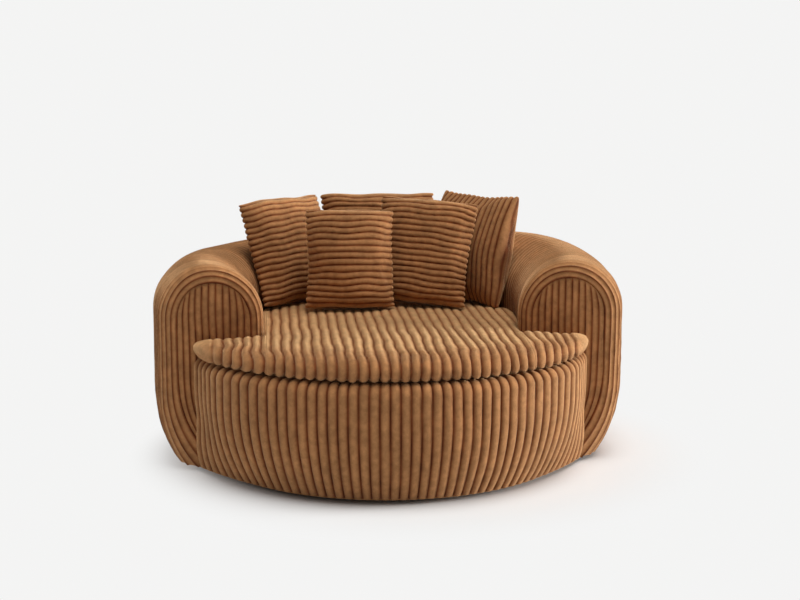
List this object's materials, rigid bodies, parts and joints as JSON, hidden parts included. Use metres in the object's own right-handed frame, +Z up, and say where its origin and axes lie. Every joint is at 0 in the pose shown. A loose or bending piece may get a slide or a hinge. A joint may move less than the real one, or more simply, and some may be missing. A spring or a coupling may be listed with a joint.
{
  "type": "round lounge chair",
  "caption": "Round lounge chair with a C-shaped padded roll for back and arms, a loose seat cushion and scatter cushions, all in jumbo cord fabric.",
  "frame": {"origin": "floor level at the middle of the round plan", "axes": "+Z up, the chair faces -Y, +X to the right as seen from the front"},
  "size_m": [1.5, 1.5, 0.8032],
  "materials": {
    "jumbo_cord": "soft ribbed pile, caramel brown",
    "foam": "matt cut foam",
    "fibre_fill": "white fibre in a thin bag",
    "plywood": "sawn, unfinished",
    "timber": "planed softwood, unfinished",
    "board_lining": "thin bent fibreboard",
    "webbing": "woven elastic strap",
    "deck_fabric": "plain brown lining cloth",
    "dust_cloth": "thin black non-woven cloth",
    "feet": "matt black",
    "zip": "brown nylon coil"
  },
  "bodies": {
    "base": {"bottom_board": "plywood", "top_ring": "plywood", "seat_ring": "plywood", "front_top_board": "plywood", "front_ribs": "plywood", "former_side_right": "plywood", "former_rear_right": "plywood", "former_back": "plywood", "former_rear_left": "plywood", "former_side_left": "plywood", "former_arm_right": "plywood", "former_arm_left": "plywood", "seat_rail_left": "timber", "seat_rail_right": "timber", "seat_rail_front": "timber", "seat_rail_back": "timber", "seat_post_front_left": "timber", "seat_post_front_right": "timber", "seat_post_back_left": "timber", "seat_post_back_right": "timber", "inner_lining": "board_lining", "outer_lining": "board_lining", "front_panel": "board_lining", "dust_cover": "dust_cloth", "deck_cloth": "deck_fabric", "base_feet": "feet", "webbing_long": "webbing", "webbing_cross": "webbing", "back_foam_inner": "foam", "back_foam_outer": "foam", "arm_foam_left": "foam", "arm_foam_right": "foam", "front_foam": "foam", "deck_pad": "foam", "back_cover": "jumbo_cord", "arm_cover_left": "jumbo_cord", "arm_cover_right": "jumbo_cord", "arm_front_left": "jumbo_cord", "arm_front_right": "jumbo_cord", "front_cover": "jumbo_cord"},
    "seat_cushion": {"seat_cushion_core": "foam", "seat_cushion_cover": "jumbo_cord", "seat_cushion_zip": "zip"},
    "scatter_left": {"scatter_left_cover": "jumbo_cord", "scatter_left_fill": "fibre_fill", "scatter_left_zip": "zip"},
    "scatter_front": {"scatter_front_cover": "jumbo_cord", "scatter_front_fill": "fibre_fill", "scatter_front_zip": "zip"},
    "scatter_rear": {"scatter_rear_cover": "jumbo_cord", "scatter_rear_fill": "fibre_fill", "scatter_rear_zip": "zip"},
    "scatter_middle": {"scatter_middle_cover": "jumbo_cord", "scatter_middle_fill": "fibre_fill", "scatter_middle_zip": "zip"},
    "scatter_right": {"scatter_right_cover": "jumbo_cord", "scatter_right_fill": "fibre_fill", "scatter_right_zip": "zip"}
  },
  "joints": [
    {"name": "seat_cushion_lift", "type": "slide", "parent": "base", "child": "seat_cushion", "axis": [0, 0, 1], "range_m": [0, 0.35]},
    {"name": "scatter_left_lift", "type": "slide", "parent": "seat_cushion", "child": "scatter_left", "axis": [0, 0, 1], "range_m": [0, 0.42]},
    {"name": "scatter_front_lift", "type": "slide", "parent": "seat_cushion", "child": "scatter_front", "axis": [0, 0, 1], "range_m": [0, 0.42]},
    {"name": "scatter_rear_lift", "type": "slide", "parent": "seat_cushion", "child": "scatter_rear", "axis": [0.0349, 0.0871, 0.9956], "range_m": [0, 0.42]},
    {"name": "scatter_middle_lift", "type": "slide", "parent": "seat_cushion", "child": "scatter_middle", "axis": [0, 0, 1], "range_m": [0, 0.42]},
    {"name": "scatter_right_lift", "type": "slide", "parent": "seat_cushion", "child": "scatter_right", "axis": [0, 0, 1], "range_m": [0, 0.42]}
  ]
}
